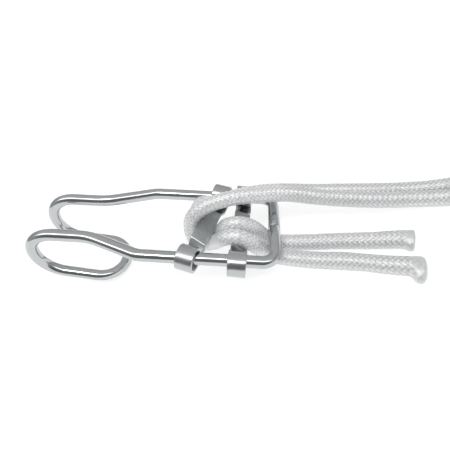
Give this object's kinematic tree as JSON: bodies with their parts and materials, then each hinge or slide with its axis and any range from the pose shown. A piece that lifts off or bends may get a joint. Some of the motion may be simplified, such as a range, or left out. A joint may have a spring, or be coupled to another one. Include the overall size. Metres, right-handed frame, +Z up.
{
  "type": "rope adjuster hook",
  "caption": "Bent round-wire rail hook with sliding eye plates that grip a doubled braided rope, for hanging a line from a rail and adjusting its length.",
  "frame": {"origin": "centre of the metal's footprint, on the surface the object lies on", "axes": "+Z up, +X from the hook towards the rope ends, Y across the two rods"},
  "size_m": [0.3319, 0.0859, 0.0554],
  "materials": {
    "polished_steel": "polished stainless round bar",
    "polished_sheet": "polished stainless sheet",
    "braided_rope": "white braided polyester",
    "fused_rope": "heat-fused white fibre"
  },
  "bodies": {
    "frame": {"wire_frame": "polished_steel", "near_rope_wrap": "braided_rope", "far_rope_wrap": "braided_rope", "near_rope_tail": "braided_rope", "near_rope_tip": "fused_rope", "far_rope_tail": "braided_rope", "far_rope_tip": "fused_rope", "rope_pull_loop": "braided_rope"},
    "front_plate": {"front_plate": "polished_sheet"},
    "rear_plate": {"rear_plate": "polished_sheet"}
  },
  "joints": [
    {"name": "front_plate_slide", "type": "slide", "parent": "frame", "child": "front_plate", "axis": [0.955, 0, -0.2965], "range_m": [-0.018, 0.0012], "deforming": ["near_rope_wrap", "far_rope_wrap"]},
    {"name": "rear_plate_slide", "type": "slide", "parent": "frame", "child": "rear_plate", "axis": [0.955, 0, -0.2965], "range_m": [-0.001, 0.0055], "deforming": ["near_rope_wrap", "far_rope_wrap"]}
  ]
}
